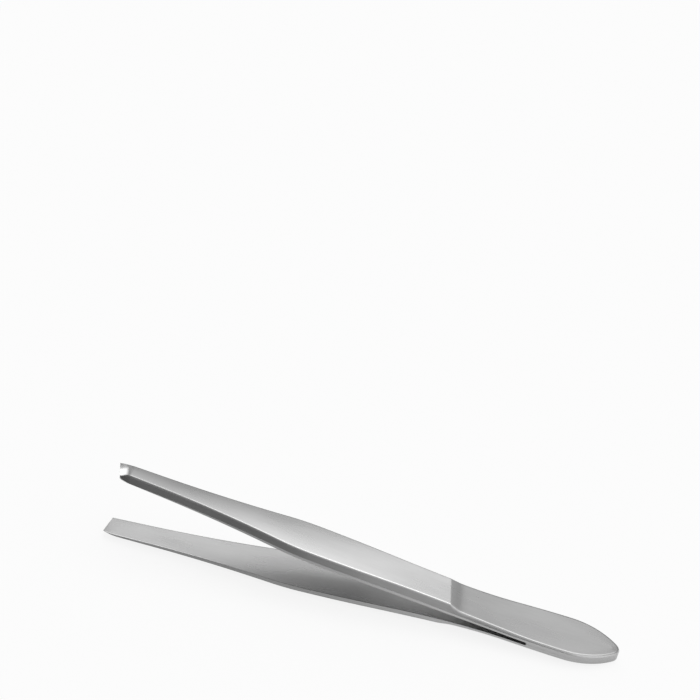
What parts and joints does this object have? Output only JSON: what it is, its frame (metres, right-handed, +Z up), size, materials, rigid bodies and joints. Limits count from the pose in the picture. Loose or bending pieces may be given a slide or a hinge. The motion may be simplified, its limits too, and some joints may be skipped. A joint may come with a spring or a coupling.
{
  "type": "thumb forceps",
  "caption": "Plain thumb forceps: slim sprung steel blades joined at a rounded tail, with bevelled sides, a shoulder and narrow smooth tips.",
  "frame": {"origin": "centre of the bounding box on the table that the lower blade lies on", "axes": "+X along the forceps towards the tail, +Y across the blades, +Z up from the table"},
  "size_m": [0.0907, 0.0094, 0.0141],
  "materials": {
    "steel": "satin, finely brushed along the blades"
  },
  "bodies": {
    "root": {"upper_blade": "steel", "lower_blade": "steel"}
  },
  "joints": []
}
